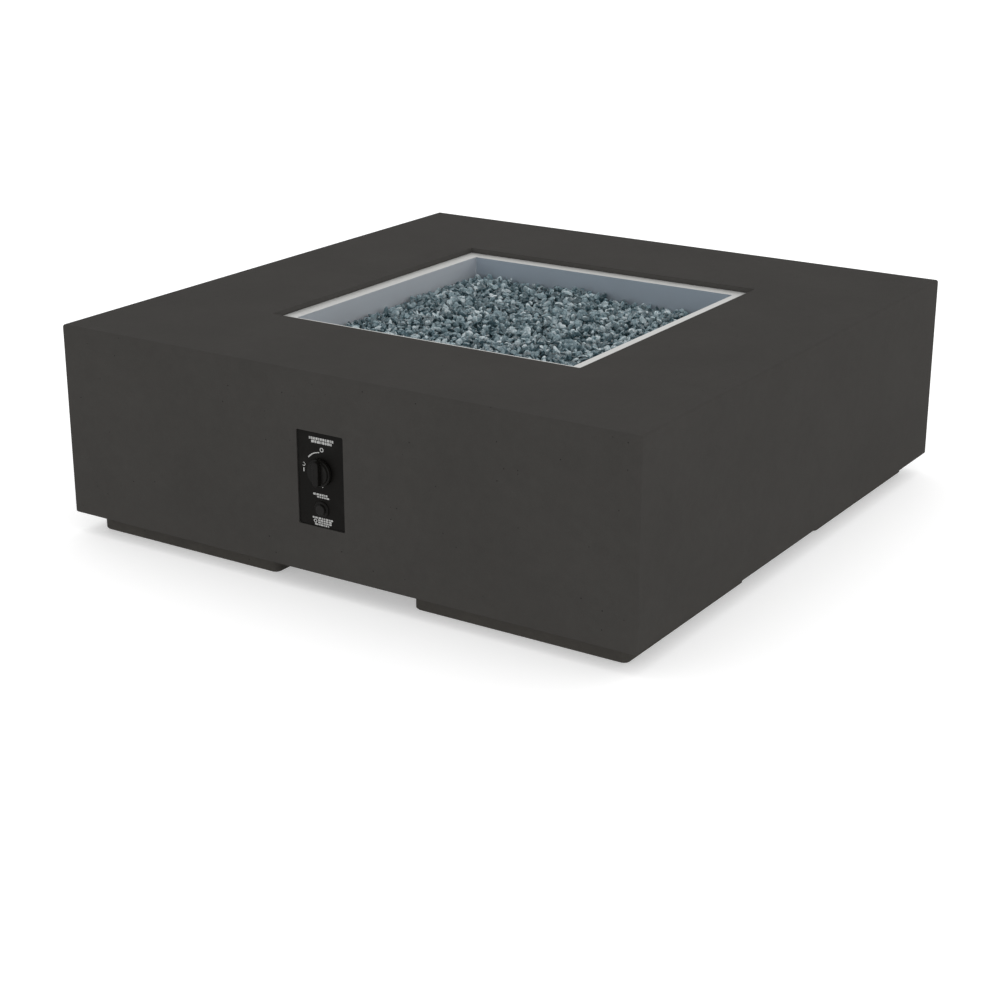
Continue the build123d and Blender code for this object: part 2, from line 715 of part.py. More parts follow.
# ---- knob ---------------------------------------------------------------------------------------
with BuildPart() as control_knob:
    with BuildSketch(Plane.XZ.offset(-knob_back)):
        with Locations((panel_x, knob_z)):
            Circle(knob_radius)
    extrude(amount=knob_skirt, taper=8)
    with BuildSketch(Plane.XZ.offset(-knob_back + knob_skirt)):
        with Locations((panel_x, knob_z)):
            Circle(knob_radius - 4.0)
    extrude(amount=2.5, taper=20)
    with BuildSketch(Plane.XZ.offset(-knob_back)):
        with Locations((panel_x, knob_z)):
            SlotOverall(2 * knob_radius - 3.0, 15.0, rotation=90)
    extrude(amount=knob_height, taper=5)
    fillet(control_knob.faces().sort_by(Axis.Y)[0].edges(), 1.6)
    with BuildSketch(Plane.XZ.offset(-knob_back)):
        with Locations((panel_x, knob_z)):
            Circle(stem_radius + fit_gap)
    extrude(amount=knob_height - 3.5, mode=Mode.SUBTRACT)
    with BuildSketch(Plane.XY.offset(knob_z)):
        with Locations((panel_x, knob_back - knob_skirt)):
            Circle(2.0)
    extrude(amount=knob_radius, mode=Mode.SUBTRACT)
finish(control_knob, "control_knob")

with BuildPart() as knob_screw:
    with BuildSketch(Plane.XY.offset(knob_z + stem_radius - 0.9)):
        with Locations((panel_x, knob_back - knob_skirt)):
            Circle(1.95)
    extrude(amount=12.0)
finish(knob_screw, "knob_screw")

# ---- control panel, its studs, clamps and nuts --------------------------------------------------
with BuildPart() as control_panel:
    with BuildSketch(Plane.XZ.offset(-panel_back)):
        with Locations((panel_x, panel_z)):
            RectangleRounded(panel_width, panel_height, 2.5)
        with Locations((panel_x, knob_z)):
            Circle(stem_radius + 1.5, mode=Mode.SUBTRACT)
        with Locations((panel_x, button_z)):
            Circle(igniter_barrel_radius + 0.3, mode=Mode.SUBTRACT)
    extrude(amount=panel_thickness)
    chamfer(control_panel.faces().sort_by(Axis.Y)[0].outer_wire().edges(), 0.5)
finish(control_panel, "control_panel")

# studs welded to the panel's back
with BuildPart() as panel_studs:
    with BuildSketch(Plane.XZ.offset(-panel_back)):
        with Locations((panel_x, panel_z)):
            with GridLocations(2 * stud_x, 2 * stud_z, 2, 2):
                Circle(stud_radius)
    extrude(amount=panel_back - stud_end)
finish(panel_studs, "panel_studs")

clamp_thickness = 2.5
with BuildPart() as panel_clamps:
    with BuildSketch(Plane.XZ.offset(-inner_face_y)):
        with Locations((panel_x, panel_z - stud_z), (panel_x, panel_z + stud_z)):
            Rectangle(panel_width + 26.0, 14.0)
        with Locations((panel_x, panel_z)):
            with GridLocations(2 * stud_x, 2 * stud_z, 2, 2):
                Circle(stud_radius + 0.4, mode=Mode.SUBTRACT)
    extrude(amount=-clamp_thickness)
finish(panel_clamps, "panel_clamps")

with BuildPart() as panel_nuts:
    with BuildSketch(Plane.XZ.offset(-inner_face_y - clamp_thickness)):
        with Locations((panel_x, panel_z)):
            with GridLocations(2 * stud_x, 2 * stud_z, 2, 2):
                RegularPolygon(4.0, 6)
                Circle(stud_radius + fit_gap, mode=Mode.SUBTRACT)
    extrude(amount=-3.2)
finish(panel_nuts, "panel_nuts")

# ---- igniter ------------------------------------------------------------------------------------
bezel_front = panel_front - bezel_thickness
button_back = panel_back + 2.0
battery_front = button_back + 8.0
battery_back = battery_front + battery_length


def igniter_disc(start, length, radius, mode=Mode.ADD):
    """A round length on the igniter's axis, from y = start towards the back."""
    with BuildSketch(Plane.XZ.offset(-start)) as disc:
        with Locations((panel_x, button_z)):
            Circle(radius)
    extrude(disc.sketch, amount=-length, mode=mode)


with BuildPart() as igniter_body:
    igniter_disc(bezel_front, bezel_thickness, igniter_bezel_radius)
    chamfer(igniter_body.faces().sort_by(Axis.Y)[0].edges(), 1.2)
    igniter_disc(panel_front, igniter_back - panel_front, igniter_barrel_radius)
    igniter_disc(bezel_front, button_back + 3.5 - bezel_front, button_radius + 0.08, Mode.SUBTRACT)
    igniter_disc(bezel_front, battery_back + 0.2 - bezel_front, igniter_bore, Mode.SUBTRACT)
    # spade terminal on the back
    with BuildSketch(Plane.XZ.offset(-igniter_back)):
        with Locations((panel_x, button_z)):
            Rectangle(6.3, 1.0)
    extrude(amount=-8.0)
finish(igniter_body, "igniter_body")

with BuildPart() as igniter_nut:
    with BuildSketch(Plane.XZ.offset(-panel_back)):
        with Locations((panel_x, button_z)):
            RegularPolygon(17.0, 6)
            Circle(igniter_barrel_radius + fit_gap, mode=Mode.SUBTRACT)
    extrude(amount=-5.0)
finish(igniter_nut, "igniter_nut")

with BuildPart() as igniter_button:
    button_front = bezel_front - button_proud
    igniter_disc(button_front, button_back - button_front, button_radius)
    fillet(igniter_button.faces().sort_by(Axis.Y)[0].edges(), 1.5)
finish(igniter_button, "igniter_button")

coil_spring("igniter_spring", panel_x, button_z, button_back, battery_front - 1.0, 5.0, 0.4, 4)

with BuildPart() as igniter_battery:
    igniter_disc(battery_front, battery_length, battery_radius)
    igniter_disc(battery_front - 1.0, 1.0, 2.7)
finish(igniter_battery, "igniter_battery")

# ---- pilot: bracket, screws, electrode and thermocouple -----------------------------------------
hood_height = 38.0
hood_width = 56.0
hood_depth = 34.0
hood_sheet = 1.5
with BuildPart() as pilot_hood:
    with BuildSketch(Plane.XY.offset(pan_floor_top)):
        with Locations((pilot_x, pilot_y)):
            Rectangle(hood_width, hood_depth)
    extrude(amount=hood_height)
    with BuildSketch(Plane.XY.offset(pan_floor_top + hood_sheet)):
        with Locations((pilot_x, pilot_y)):
            Rectangle(hood_width - 2 * hood_sheet, hood_depth + 4.0)
    extrude(amount=hood_height - 2 * hood_sheet, mode=Mode.SUBTRACT)
    with BuildSketch(Plane.XY.offset(pan_floor_top)):
        with Locations((electrode_x, pilot_y), (probe_x, pilot_y)):
            Circle(4.5)
        with Locations(*pan_screws):
            Circle(2.3)
    extrude(amount=hood_sheet, mode=Mode.SUBTRACT)
    # air holes in the top
    with BuildSketch(Plane.XY.offset(pan_floor_top + hood_height)):
        with Locations((pilot_x, pilot_y)):
            with GridLocations(10.0, 9.0, 5, 3):
                Circle(2.2)
    extrude(amount=-hood_sheet, mode=Mode.SUBTRACT)
finish(pilot_hood, "pilot_hood")

with BuildPart() as pilot_screws:
    with BuildSketch(Plane.XY.offset(pan_floor_top + hood_sheet)):
        with Locations(*pan_screws):
            Circle(3.8)
    extrude(amount=2.5)
    with BuildSketch(Plane.XY.offset(pan_floor_top + hood_sheet)):
        with Locations(*pan_screws):
            Circle(2.0)
    extrude(amount=-10.0)
finish(pilot_screws, "pilot_screws")

with BuildPart() as pilot_screw_nuts:
    with BuildSketch(Plane.XY.offset(pan_floor_bottom)):
        with Locations(*pan_screws):
            RegularPolygon(4.0, 6)
            Circle(2.0 + fit_gap, mode=Mode.SUBTRACT)
    extrude(amount=-3.2)
finish(pilot_screw_nuts, "pilot_screw_nuts")

ceramic_bottom = pan_floor_bottom - 14.0
ceramic_top = pan_floor_top + 14.0
with BuildPart() as electrode_insulator:
    with BuildSketch(Plane.XY.offset(ceramic_bottom)):
        with Locations((electrode_x, pilot_y)):
            Circle(3.5)
            Circle(1.2 + fit_gap, mode=Mode.SUBTRACT)
    extrude(amount=ceramic_top - ceramic_bottom)
    with BuildSketch(Plane.XY.offset(pan_floor_top + hood_sheet)):
        with Locations((electrode_x, pilot_y)):
            Circle(5.5)
            Circle(1.2 + fit_gap, mode=Mode.SUBTRACT)
    extrude(amount=3.0)
finish(electrode_insulator, "electrode_insulator")

with BuildPart() as electrode_rod:
    with BuildSketch(Plane.XY.offset(ceramic_bottom)):
        with Locations((electrode_x, pilot_y)):
            Circle(1.2)
    extrude(amount=ceramic_top + 12.0 - ceramic_bottom)
finish(electrode_rod, "electrode_rod")

with BuildPart() as thermocouple_probe:
    with BuildSketch(Plane.XY.offset(ceramic_bottom)):
        with Locations((probe_x, pilot_y)):
            Circle(3.0)
    extrude(amount=ceramic_top + 12.0 - ceramic_bottom)
    fillet(thermocouple_probe.faces().sort_by(Axis.Z)[-1].edges(), 1.5)
    with BuildSketch(Plane.XY.offset(pan_floor_top + hood_sheet)):
        with Locations((probe_x, pilot_y)):
            Circle(5.5)
    extrude(amount=3.0)
finish(thermocouple_probe, "thermocouple_probe")


# ---- leads from the control panel to the pilot --------------------------------------------------
def lead(name, points):
    """A thin lead along straight runs joined by tangent arcs."""
    radii = route_radii(points)
    with BuildLine() as line:
        FilletPolyline(*points, radius=radii)
    path = line.wires()[0]
    with BuildPart() as wire:
        with BuildSketch(Plane(path @ 0, z_dir=path % 0)):
            Circle(lead_radius)
        sweep(path=path)
    finish(wire, name)
    ratio = wire.part.volume / (math.pi * lead_radius ** 2 * path.length)
    print(name, "radii", radii, "length", round(path.length, 1), "volume ratio", round(ratio, 4))


magnet_end = valve_back + 31.0
lead("thermocouple_lead", [
    (panel_x, magnet_end, knob_z),
    (panel_x, magnet_end + 40.0, knob_z),
    (panel_x + 20.0, magnet_end + 88.0, knob_z - 6.0),
    (panel_x + 50.0, magnet_end + 132.0, knob_z - 9.0),
    (probe_x - 14.0, magnet_end + 176.0, knob_z - 4.0),
    (probe_x, pilot_y - 40.0, knob_z + 6.0),
    (probe_x, pilot_y, knob_z + 22.0),
    (probe_x, pilot_y, ceramic_bottom),
])

terminal_end = igniter_back + 8.0
lead("ignition_lead", [
    (panel_x, terminal_end, button_z),
    (panel_x, terminal_end + 42.0, button_z),
    (panel_x + 10.0, terminal_end + 92.0, button_z + 8.0),
    (panel_x + 34.0, terminal_end + 138.0, button_z + 24.0),
    (electrode_x - 16.0, terminal_end + 184.0, button_z + 44.0),
    (electrode_x, pilot_y - 36.0, button_z + 68.0),
    (electrode_x, pilot_y, button_z + 92.0),
    (electrode_x, pilot_y, ceramic_bottom),
])

# ---- bed of fire glass, cut clear of what it buries ---------------------------------------------
clear = 0.6
with BuildPart() as glass_bed:
    with BuildSketch(Plane.XY.offset(pan_floor_top + 0.3)):
        RectangleRounded(pan_inner - 1.0, pan_inner - 1.0, 2.5)
    extrude(amount=glass_top - pan_floor_top - 0.3)
    add_burner_tubes(tube_radius + clear, ring_length + 2 * clear, Mode.SUBTRACT)
    with BuildSketch(Plane.XY.offset(pan_floor_top)):
        Circle(hub_radius + 3.0)
        with Locations(*stand_places):
            Rectangle(26.0 + 2 * clear, 26.0 + 2 * clear)
    extrude(amount=burner_z + 11.0 + clear - pan_floor_top, mode=Mode.SUBTRACT)
    with BuildSketch(Plane.XY.offset(pan_floor_top)):
        with Locations((pilot_x, pilot_y)):
            Rectangle(hood_width + 2 * clear, hood_depth + 2 * clear)
    extrude(amount=hood_height + clear, mode=Mode.SUBTRACT)
finish(glass_bed, "glass_bed")
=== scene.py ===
import math

import bmesh
import bpy
import numpy as np
from mathutils import Matrix, Vector


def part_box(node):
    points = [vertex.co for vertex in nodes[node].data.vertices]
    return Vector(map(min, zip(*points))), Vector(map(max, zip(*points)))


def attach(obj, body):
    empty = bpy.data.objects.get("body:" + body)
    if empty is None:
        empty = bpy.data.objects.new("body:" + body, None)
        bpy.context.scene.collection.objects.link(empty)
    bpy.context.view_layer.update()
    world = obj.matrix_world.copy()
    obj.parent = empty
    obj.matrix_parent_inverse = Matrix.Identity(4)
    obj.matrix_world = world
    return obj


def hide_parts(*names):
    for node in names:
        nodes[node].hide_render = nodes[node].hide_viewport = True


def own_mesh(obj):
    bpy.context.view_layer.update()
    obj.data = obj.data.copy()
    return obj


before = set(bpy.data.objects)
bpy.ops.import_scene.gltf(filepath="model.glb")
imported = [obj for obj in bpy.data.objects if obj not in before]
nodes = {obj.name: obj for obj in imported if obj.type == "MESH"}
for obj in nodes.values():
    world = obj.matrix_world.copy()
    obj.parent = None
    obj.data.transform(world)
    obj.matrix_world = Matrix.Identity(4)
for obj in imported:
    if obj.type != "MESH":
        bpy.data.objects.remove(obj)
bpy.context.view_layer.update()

# Camera: stands to the right of the front face, about 20 degrees above the horizon, a few metres
# off with a short telephoto lens.
view_azimuth = math.radians(33.016)
view_elevation = math.radians(19.812)
view_roll = math.radians(0.073)
view_distance = 3.9283
view_target = Vector((-0.0115, -0.0505, 0.0124))

view_back = Vector((
    math.sin(view_azimuth) * math.cos(view_elevation),
    -math.cos(view_azimuth) * math.cos(view_elevation),
    math.sin(view_elevation),
))
level_right = Vector((math.cos(view_azimuth), math.sin(view_azimuth), 0.0))
level_up = view_back.cross(level_right)
view_right = level_right * math.cos(view_roll) + level_up * math.sin(view_roll)
view_up = level_up * math.cos(view_roll) - level_right * math.sin(view_roll)
camera = bpy.data.objects.new("camera", bpy.data.cameras.new("camera"))
camera.data.lens = 71.72
camera.data.clip_end = 100.0
camera.matrix_world = Matrix.Translation(view_target + view_back * view_distance) @ Matrix(
    (view_right, view_up, view_back)).transposed().to_4x4()
bpy.context.scene.collection.objects.link(camera)
bpy.context.scene.camera = camera
bpy.context.scene.view_settings.view_transform = "Standard"

# Studio: an even white surround, with one broad soft box overhead and a smaller one behind the
# table, to its right.
world = bpy.data.worlds.new("studio_white")
world.use_nodes = True
world.node_tree.nodes["Background"].inputs["Color"].default_value = (1.0, 1.0, 1.0, 1.0)
world.node_tree.nodes["Background"].inputs["Strength"].default_value = 1.0
bpy.context.scene.world = world


def soft_box(name, power, width, place, aim):
    """A square area light at a place, turned to face a point."""
    lamp = bpy.data.lights.new(name, "AREA")
    lamp.energy = power
    lamp.size = width
    box = bpy.data.objects.new(name, lamp)
    box.location = place
    box.rotation_mode = "QUATERNION"
    box.rotation_quaternion = (Vector(aim) - Vector(place)).to_track_quat("-Z", "Y")
    bpy.context.scene.collection.objects.link(box)


soft_box("overhead_soft_box", 8.0, 3.0, (-0.6, -0.3, 3.2), (0.0, 0.0, 0.3))
soft_box("back_soft_box", 12.0, 1.6, (2.2, 2.6, 1.9), (0.0, 0.0, 0.35))


# Floor: a wide white sheet, lit from within so that the table's shadow stays faint. It is clear from
# below, which lets the underside be seen.
floor_mesh = bpy.data.meshes.new("floor")
floor_reach = 30.0
floor_mesh.from_pydata(
    [(x * floor_reach, y * floor_reach, 0.0) for x, y in ((-1, -1), (1, -1), (1, 1), (-1, 1))],
    [], [(0, 1, 2, 3)])
floor = bpy.data.objects.new("floor", floor_mesh)
floor_paint = bpy.data.materials.new("floor_paint")
floor_paint.use_nodes = True
floor_shader = floor_paint.node_tree.nodes["Principled BSDF"]
for socket, value in (("Base Color", (0.80, 0.80, 0.80, 1.0)), ("Roughness", 0.9),
                      ("Specular IOR Level", 0.0), ("Emission Color", (1.0, 1.0, 1.0, 1.0)),
                      ("Emission Strength", 0.38)):
    floor_shader.inputs[socket].default_value = value
floor_tree = floor_paint.node_tree
floor_side = floor_tree.nodes.new("ShaderNodeNewGeometry")
floor_clear = floor_tree.nodes.new("ShaderNodeBsdfTransparent")
floor_mix = floor_tree.nodes.new("ShaderNodeMixShader")
floor_tree.links.new(floor_side.outputs["Backfacing"], floor_mix.inputs[0])
floor_tree.links.new(floor_shader.outputs[0], floor_mix.inputs[1])
floor_tree.links.new(floor_clear.outputs[0], floor_mix.inputs[2])
floor_tree.links.new(floor_mix.outputs[0], floor_tree.nodes["Material Output"].inputs["Surface"])
floor_mesh.materials.append(floor_paint)
bpy.context.scene.collection.objects.link(floor)


# Concrete shell: a thin-walled casting of glass-fibre reinforced concrete, charcoal all through.
# Its faces are honed and sealed, so they are even and matt, with faint clouds, fine sand and a
# scatter of pinholes left by air in the mould.
class Wire:
    """An output in a material's nodes. Arithmetic on it adds Math nodes, so a pattern reads as a sum."""

    def __init__(self, tree, socket):
        self.tree = tree
        self.socket = socket

    def node(self, kind, inputs=(), output=0, **settings):
        """Adds a node: its settings first, then values or links for its sockets."""
        made = self.tree.nodes.new(kind)
        for name, value in settings.items():
            setattr(made, name, value)
        for name, value in dict(inputs).items():
            if isinstance(value, Wire):
                self.tree.links.new(value.socket, made.inputs[name])
            else:
                made.inputs[name].default_value = value
        return Wire(self.tree, made.outputs[output])

    def math(self, operation, *values):
        return self.node("ShaderNodeMath", enumerate(values), operation=operation)

    def __add__(self, other):
        return self.math("ADD", self, other)

    def __radd__(self, other):
        return self.math("ADD", other, self)

    def __sub__(self, other):
        return self.math("SUBTRACT", self, other)

    def __rsub__(self, other):
        return self.math("SUBTRACT", other, self)

    def __mul__(self, other):
        return self.math("MULTIPLY", self, other)

    def __rmul__(self, other):
        return self.math("MULTIPLY", other, self)

    def __abs__(self):
        return self.math("ABSOLUTE", self)

    def __gt__(self, other):
        return self.math("GREATER_THAN", self, other)

    def __lt__(self, other):
        return self.math("LESS_THAN", self, other)

    def step(self, low, high):
        """0 below low and 1 above high, with a smooth turn between."""
        return self.node("ShaderNodeMapRange", {"Value": self, "From Min": low, "From Max": high},
                         interpolation_type="SMOOTHSTEP")

    def blend(self, first, second):
        """The first colour where this is 0, the second where it is 1."""
        colours = {6: first, 7: second}
        ends = {k: c if isinstance(c, Wire) else (*c, 1.0) for k, c in colours.items()}
        return self.node("ShaderNodeMix", {0: self, **ends}, 2, data_type="RGBA")

    def stretch(self, x, y, z):
        """This place with its axes scaled, for patterns that run along a direction."""
        return self.node("ShaderNodeVectorMath", {0: self, 1: (x, y, z)}, operation="MULTIPLY")

    def noise(self, scale, detail=2.0, rough=0.5):
        """Cloudy noise around 0.5 at this place; scale is in clouds to the metre."""
        return self.node("ShaderNodeTexNoise",
                         {"Vector": self, "Scale": scale, "Detail": detail, "Roughness": rough})

    def axis(self, letter):
        """One of the three parts of a place, a direction or a colour, by its axis letter."""
        return self.node("ShaderNodeSeparateXYZ", {0: self}, letter)


class Finish:
    """A new material: its shader, and the place of a point on the object, in metres."""

    def __init__(self, name, **constants):
        self.material = bpy.data.materials.new(name)
        self.material.use_nodes = True
        self.tree = self.material.node_tree
        self.shader = self.tree.nodes["Principled BSDF"]
        for socket, value in constants.items():
            self.shader.inputs[socket.replace("_", " ")].default_value = value
        coordinates = self.tree.nodes.new("ShaderNodeTexCoord")
        self.place = Wire(self.tree, coordinates.outputs["Object"])

    def vary(self, socket, wire):
        self.tree.links.new(wire.socket, self.shader.inputs[socket])

    def bump(self, height, depth):
        """Raises the surface by height, where 1 stands for depth in metres."""
        self.vary("Normal", height.node("ShaderNodeBump", {"Height": height, "Distance": depth}))


def dress(material, *names):
    """Gives CAD nodes this material."""
    for name in names:
        for slot in nodes[name].material_slots:
            slot.material = material


# The recess's upright walls are painted paler than the rest of the casting: painted light against the shade
# that falls in the recess.
recess_side = 0.672              # its upright walls come out paler than the rest of the casting


def cast_concrete(name, dust_and_painted_light):
    """Charcoal concrete, paler towards the ground by an amount from 0 to 1: partly dust splashed up from the
    ground, partly painted light against the shade low down.
    """
    mix = Finish(name, Specular_IOR_Level=0.02)
    place = mix.place
    clouds = place.noise(5.0, 4.0, 0.6)
    mottle = place.noise(60.0, 3.0, 0.6)
    sand = place.noise(1400.0, 2.0, 0.7)
    pinhole = place.node("ShaderNodeTexVoronoi", {"Vector": place, "Scale": 75.0})
    cell = place.node("ShaderNodeTexVoronoi", {"Vector": place, "Scale": 75.0}, "Color")
    few = cell.axis("X") > 0.86
    holes = (1.0 - pinhole.step(0.05, 0.10)) * few
    low = 1.0 - place.axis("Z").step(0.0, 0.12)
    tone = 0.60 + 0.24 * clouds + 0.18 * mottle + 0.46 * sand
    # Painted light: the upright walls of the recess are made paler, against the shade that falls there.
    inside = place.math("MAXIMUM", abs(place.axis("X")), abs(place.axis("Y"))) < recess_side / 2 + 0.0005
    upright = abs(place.node("ShaderNodeNewGeometry", output="Normal").axis("Z")) < 0.5
    tone = tone * (1.0 + 0.45 * inside * upright)
    grit = tone.node("ShaderNodeCombineXYZ", {0: tone, 1: tone, 2: tone})
    base = grit.node("ShaderNodeVectorMath", {0: grit, 1: (0.0445, 0.0425, 0.0400)}, operation="MULTIPLY")
    # Paler towards the ground: dust, and painted light against the shade low down.
    dusted_and_lit = (low * dust_and_painted_light * place.noise(22.0, 4.0, 0.7)).blend(base, (0.105, 0.096, 0.082))
    # The pinholes are painted near black: painted shade inside them.
    mix.vary("Base Color", (holes * 0.8).blend(dusted_and_lit, (0.012, 0.011, 0.010)))
    mix.vary("Roughness", 0.78 + 0.14 * mottle + 0.06 * sand)
    mix.bump(sand * 0.45 + mottle * 0.55 - holes * 2.0, 0.00040)
    return mix.material


dress(cast_concrete("charcoal_concrete", 0.10), "concrete_shell")

# Feet: four L-shaped castings of the same concrete, bolted up into threaded inserts in the shell's
# ledges. They hold the shell clear of the paving. Rain has splashed them with dust, and they are
# painted paler still, as painted light against the shade under the shell.
corners = ["front_left", "front_right", "back_left", "back_right"]
dress(cast_concrete("foot_concrete", 0.45), *[f"foot_{corner}" for corner in corners])


# Foot pads: L-shaped strips of black rubber with holes for the bolt heads. Each sits in a seat in its
# foot's underside and stands just proud of it.
def moulded_rubber(name, colour):
    """Black rubber with a fine tooth and a grey bloom."""
    mix = Finish(name, Specular_IOR_Level=0.3)
    bloom = mix.place.noise(45.0, 4.0, 0.6)
    mix.vary("Base Color", bloom.step(0.35, 0.8).blend(colour, tuple(c * 2.2 for c in colour)))
    mix.vary("Roughness", 0.72 + 0.2 * bloom)
    mix.bump(mix.place.noise(2500.0, 2.0), 0.00006)
    return mix.material


dress(moulded_rubber("pad_rubber", (0.016, 0.016, 0.016)), *[f"foot_pad_{corner}" for corner in corners])


# Burner pan: folded and welded 304 stainless, brushed along each wall and along each side of the
# flange, which lies on a strip of gasket in the recess of the casting.
def brushed_steel(name, flat_colour, wall_painted_shade_colour, side_painted_light_colour, rough, streak, **more):
    """Stainless sheet with brush marks along the walls and flange. Its flat faces are one colour; the
    walls that face front and back are painted darker and bluer, as painted shade and a painted
    reflection of the glass, and the side walls paler, as painted light."""
    mix = Finish(name, **more)
    across = mix.place.stretch(3.0, 3.0, 1400.0)
    along_x = mix.place.stretch(3.0, 1400.0, 3.0)
    along_y = mix.place.stretch(1400.0, 3.0, 3.0)
    facing = across.node("ShaderNodeNewGeometry", output="Normal")
    upright = 1.0 - abs(facing.axis("Z")).step(0.4, 0.6)
    side_x = abs(mix.place.axis("X")) > abs(mix.place.axis("Y"))
    grain = {way: line.noise(1.0, 2.0, 0.6) for way, line in
             (("wall", across), ("x", along_x), ("y", along_y))}
    flat = grain["x"] * (1.0 - side_x) + grain["y"] * side_x
    lines = grain["wall"] * upright + flat * (1.0 - upright)
    smudge = mix.place.noise(9.0, 4.0, 0.6)
    # Painted light: front and back walls get painted shade and a painted blue reflection of the glass, side
    # walls painted light.
    walls_painted_lit_and_shaded = (abs(facing.axis("X")) > 0.5).blend(wall_painted_shade_colour, side_painted_light_colour)
    colour = upright.blend(flat_colour, walls_painted_lit_and_shaded)
    shade = colour.node("ShaderNodeVectorMath", {0: colour, 1: (0.66, 0.66, 0.67)}, operation="MULTIPLY")
    from_mitre = abs(abs(mix.place.axis("X")) - abs(mix.place.axis("Y")))
    seam = (1.0 - from_mitre.step(0.0004, 0.0012)) * (1.0 - upright)
    worn = ((lines * 0.75 + smudge * 0.25).step(0.34, 0.62) - 0.8 * seam).math("MAXIMUM", 0.0)
    mix.vary("Base Color", worn.blend(shade, colour))
    mix.vary("Roughness", rough + streak * lines + 0.10 * smudge + 0.15 * seam)
    mix.bump(lines - 3.0 * seam, 0.00003)
    return mix.material


# The second colour is painted shade and reflection on the front and back walls, the third painted light on
# the side walls.
dress(brushed_steel("pan_steel", (0.64, 0.64, 0.62), (0.47, 0.54, 0.61), (0.70, 0.73, 0.77), 0.30, 0.20,
                    Metallic=0.55), "burner_pan")


# Gasket: a square of matted ceramic fibre strip, laid loose on the floor of the recess under the
# pan's flange.
def fibre_strip(name, colour):
    """Fibre gasket strip: dull, matted and slightly felted."""
    mix = Finish(name, Specular_IOR_Level=0.1)
    felt = mix.place.noise(900.0, 4.0, 0.7)
    mix.vary("Base Color", felt.blend(tuple(c * 0.6 for c in colour), colour))
    mix.vary("Roughness", 0.8 + 0.2 * felt)
    mix.bump(felt, 0.0002)
    return mix.material


dress(fibre_strip("gasket_fibre", (0.055, 0.054, 0.052)), "pan_gasket")

# Fire glass: crushed tempered glass, tumbled until its edges are safe, blue-grey and poured loose
# over the burner. It lies a little heaped in the middle and has slid away from two of the corners.
glass_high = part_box("glass_bed")[1]
glass_reach = glass_high.x - 0.0015
rng = np.random.default_rng(48)


def smooth_step(value, low, high):
    """0 below low and 1 above high, with a smooth turn between."""
    share = np.clip((value - low) / (high - low), 0.0, 1.0)
    return share * share * (3 - 2 * share)


def heap(x, y):
    """Height of the glass's surface over a point of the pan."""
    from_corner = np.hypot(x + glass_reach, y - glass_reach)
    from_wall = glass_reach - np.maximum(np.abs(x), np.abs(y))
    edge = 1.0 - smooth_step(from_wall, 0.0, 0.16)
    slid = smooth_step(from_corner, 0.22, 0.5) * edge * smooth_step(y - x, -0.02, 0.12)
    ripple = 0.0022 * np.sin(31.0 * x + 9.0 * y) + 0.0020 * np.sin(23.0 * y - 14.0 * x + 1.0)
    return glass_high.z - 0.003 + 0.004 * (1.0 - edge) - 0.011 * slid + ripple


def chip_shapes(count):
    """Lumps made by cutting a ball back with a few random planes, then flattening it."""
    ball = bmesh.new()
    bmesh.ops.create_icosphere(ball, subdivisions=2, radius=1.0)
    points = np.array([v.co for v in ball.verts])
    faces = np.array([[v.index for v in f.verts] for f in ball.faces])
    ball.free()
    shapes = []
    for _ in range(count):
        planes = rng.normal(size=(7, 3))
        planes /= np.linalg.norm(planes, axis=1)[:, None]
        depth = rng.uniform(0.32, 0.80, 7)
        cut = np.clip(points @ planes.T, 0.0, None) / depth
        radius = (1.0 + (cut ** 16).sum(1)) ** (-1 / 16)
        shapes.append(points * radius[:, None] * rng.uniform((1.05, 0.75, 0.45), (1.35, 1.05, 0.75)))
    return shapes, faces


def turns(count):
    """Random rotations, one to a chip, from random unit quaternions."""
    quaternions = rng.normal(size=(4, count))
    w, x, y, z = quaternions / np.linalg.norm(quaternions, axis=0)
    return np.array([
        [1 - 2 * (y * y + z * z), 2 * (x * y - z * w), 2 * (x * z + y * w)],
        [2 * (x * y + z * w), 1 - 2 * (x * x + z * z), 2 * (y * z - x * w)],
        [2 * (x * z - y * w), 2 * (y * z + x * w), 1 - 2 * (x * x + y * y)],
    ]).transpose(2, 0, 1)


def layer(pitch, sunk):
    """Jittered places for one layer of chips, sunk below the heap's surface, with each chip's size."""
    lines = np.arange(-glass_reach + 0.006, glass_reach - 0.005, pitch)
    x, y = (a.ravel() for a in np.meshgrid(lines, lines))
    x = x + rng.uniform(-0.5, 0.5, x.size) * pitch
    y = y + rng.uniform(-0.5, 0.5, y.size) * pitch
    size = rng.uniform(0.0065, 0.0105, x.size)
    limit = glass_reach - size
    x, y = np.clip(x, -limit, limit), np.clip(y, -limit, limit)
    z = heap(x, y) - sunk + rng.uniform(-0.003, 0.002, x.size)
    return np.stack([x, y, z], 1), size


def mesh_piece(name, points, faces, material):
    """A new piece from point and face lists, shaded smooth."""
    mesh = bpy.data.meshes.new(name)
    mesh.from_pydata(points, [], faces)
    mesh.materials.append(material)
    mesh.polygons.foreach_set("use_smooth", [True] * len(mesh.polygons))
    piece = bpy.data.objects.new(name, mesh)
    bpy.context.scene.collection.objects.link(piece)
    return piece


def tinted_glass(name, deep, pale):
    """Blue-grey glass with paler bruised patches inside, glossy all over."""
    mix = Finish(name, IOR=1.52, Transmission_Weight=0.4)
    patch = mix.place.noise(160.0, 3.0, 0.6)
    mix.vary("Base Color", patch.step(0.32, 0.72).blend(deep, pale))
    mix.vary("Roughness", 0.03 + 0.10 * mix.place.noise(500.0, 2.0))
    return mix.material


